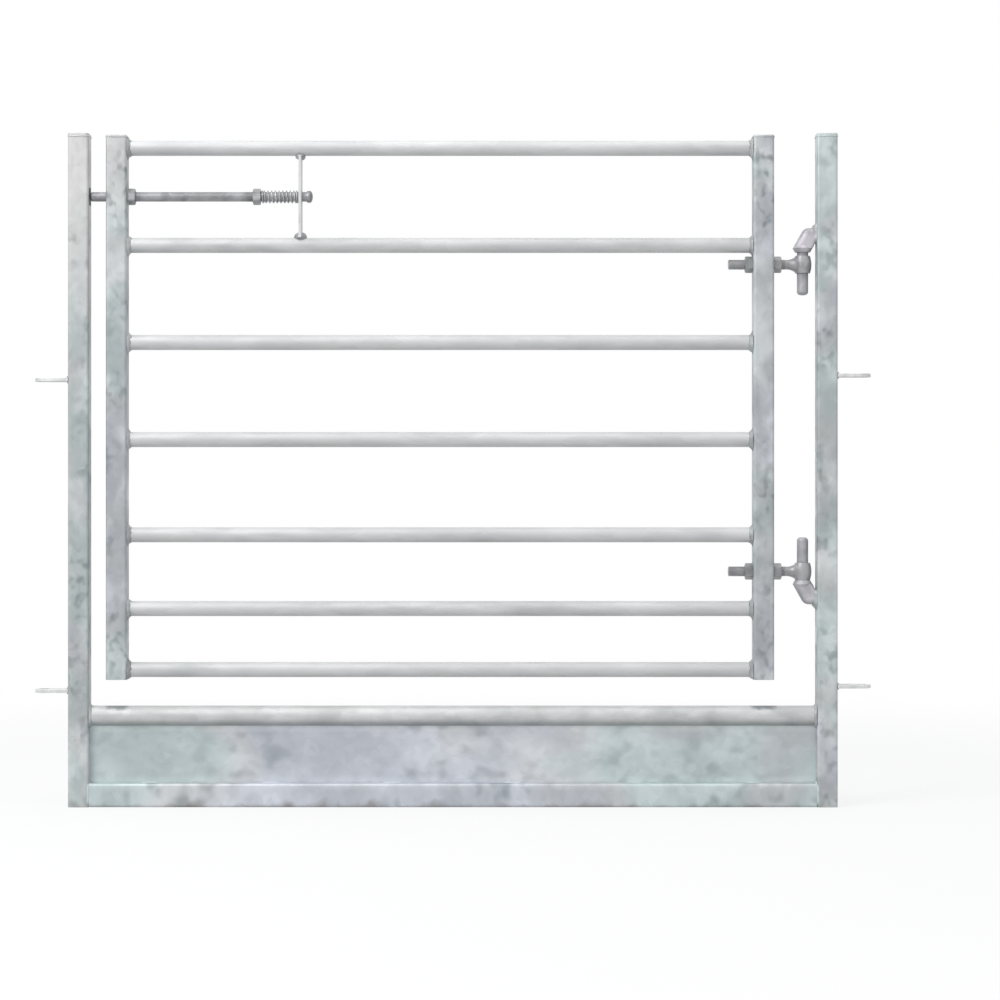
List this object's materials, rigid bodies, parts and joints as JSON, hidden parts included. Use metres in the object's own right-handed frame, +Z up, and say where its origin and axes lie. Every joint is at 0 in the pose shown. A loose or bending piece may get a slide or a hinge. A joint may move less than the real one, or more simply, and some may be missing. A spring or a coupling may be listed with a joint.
{
  "type": "sheep gate",
  "caption": "Galvanised sheep gate hung on pin hinges in a U-shaped frame of box posts, with tube rails, a sprung slide bolt and drilled side lugs for joining to hurdles.",
  "frame": {"origin": "on the ground, midway between the two posts and in their middle plane", "axes": "+X along the gate from the latch post to the hanging post, +Y away from the viewer, +Z up"},
  "size_m": [1.404, 0.035, 1.1299],
  "materials": {
    "galvanised_steel": "hot-dip galvanised, dull and faintly spangled",
    "plated_hardware": "dull zinc-plated bar and nuts, darker than the frame",
    "spring_steel": "dull spring wire"
  },
  "bodies": {
    "frame": {"latch_post": "galvanised_steel", "hanging_post": "galvanised_steel", "latch_post_cap": "galvanised_steel", "hanging_post_cap": "galvanised_steel", "bottom_rail": "galvanised_steel", "kick_plate": "galvanised_steel", "sill_tube": "galvanised_steel", "upper_gudgeon": "galvanised_steel", "lower_gudgeon": "galvanised_steel", "upper_left_lug": "galvanised_steel", "lower_left_lug": "galvanised_steel", "upper_right_lug": "galvanised_steel", "lower_right_lug": "galvanised_steel"},
    "gate": {"latch_stile": "galvanised_steel", "hinge_stile": "galvanised_steel", "latch_stile_cap": "galvanised_steel", "hinge_stile_cap": "galvanised_steel", "rail_1": "galvanised_steel", "rail_2": "galvanised_steel", "rail_3": "galvanised_steel", "rail_4": "galvanised_steel", "rail_5": "galvanised_steel", "rail_6": "galvanised_steel", "rail_7": "galvanised_steel", "upper_hinge_eye": "plated_hardware", "lower_hinge_eye": "plated_hardware", "upper_outer_nut": "plated_hardware", "upper_inner_nut": "plated_hardware", "lower_outer_nut": "plated_hardware", "lower_inner_nut": "plated_hardware", "latch_strap": "galvanised_steel", "latch_guide": "plated_hardware", "latch_spring": "spring_steel"},
    "latch": {"latch_bolt": "plated_hardware", "spring_nut": "plated_hardware", "pull_knob": "plated_hardware"}
  },
  "joints": [
    {"name": "gate_swing", "type": "hinge", "parent": "frame", "child": "gate", "pos_m": [0.5874, 0, 0], "axis": [0, 0, 1], "range_deg": [-120, 120]},
    {"name": "latch_slide", "type": "slide", "parent": "gate", "child": "latch", "axis": [1, 0, 0], "range_m": [-0.008, 0.022], "stiffness_N_per_m": 400, "springref_m": -0.03, "deforming": ["latch_spring"]}
  ]
}
